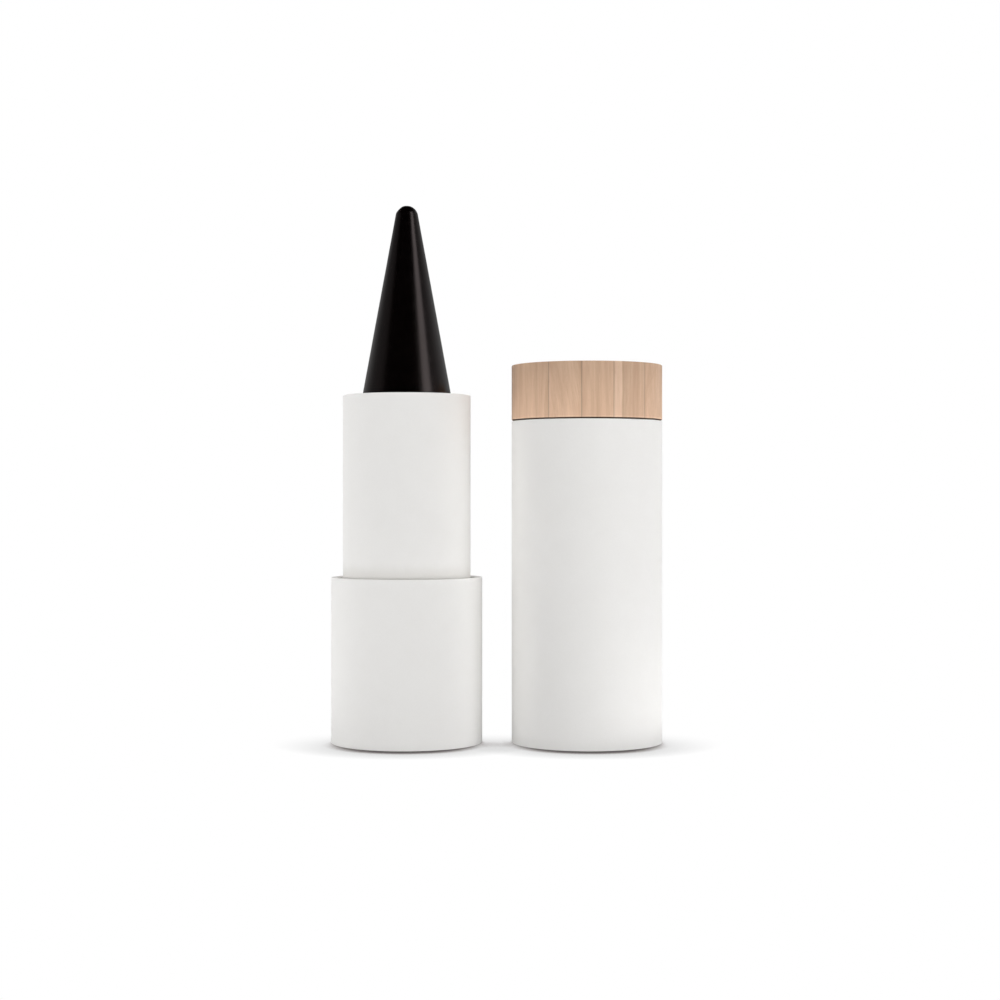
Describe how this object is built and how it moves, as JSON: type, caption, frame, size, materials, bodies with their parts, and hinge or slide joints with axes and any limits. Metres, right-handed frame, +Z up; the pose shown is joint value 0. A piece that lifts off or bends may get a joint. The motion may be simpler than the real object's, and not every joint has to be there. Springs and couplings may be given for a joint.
{
  "type": "kohl container",
  "caption": "Twist-up kohl stick in a round white board case with a laminated wooden cap top; the stick stands open and fully out with its cap beside it.",
  "frame": {"origin": "centre of the flat foot of the base, on the axis of the base, sleeve and kohl", "axes": "+Z up along the stick, +X from the base towards the cap that stands beside it, -Y towards the viewer"},
  "size_m": [0.0438, 0.02, 0.071],
  "materials": {
    "board": "matt white-lined board",
    "white_paper": "soft matt coated paper",
    "white_plastic": "matt moulded",
    "natural_plastic": "natural moulded, slightly waxy",
    "rubber": "matt",
    "kohl": "satin wax",
    "wood": "sanded and lightly oiled"
  },
  "bodies": {
    "base": {"base_tube": "board", "base_wrap": "white_paper", "base_disc": "board", "base_insert": "white_plastic", "guide_tube": "natural_plastic", "brake_ring": "rubber"},
    "sleeve": {"spiral": "natural_plastic", "sleeve_tube": "board", "sleeve_wrap": "white_paper"},
    "carrier": {"cup": "natural_plastic", "kohl_cone": "kohl"},
    "cap": {"cap_tube": "board", "cap_wrap": "white_paper", "cap_liner": "white_plastic", "wood_strip_1": "wood", "wood_strip_2": "wood", "wood_strip_3": "wood", "wood_strip_4": "wood", "wood_strip_5": "wood"}
  },
  "joints": [
    {"name": "sleeve_twist", "type": "hinge", "parent": "base", "child": "sleeve", "pos_m": [0, 0, 0.0255], "axis": [0, 0, 1], "range_deg": [0, 450]},
    {"name": "carrier_slide", "type": "slide", "parent": "base", "child": "carrier", "axis": [0, 0, 1], "range_m": [-0.026, 0]},
    {"name": "cap_lift", "type": "slide", "parent": "base", "child": "cap", "axis": [0, 0, 1], "range_m": [0, 0.072]}
  ],
  "couplings": [
    {"joint": "carrier_slide", "follows": "sleeve_twist", "m_per_rad": -0.0033104}
  ]
}
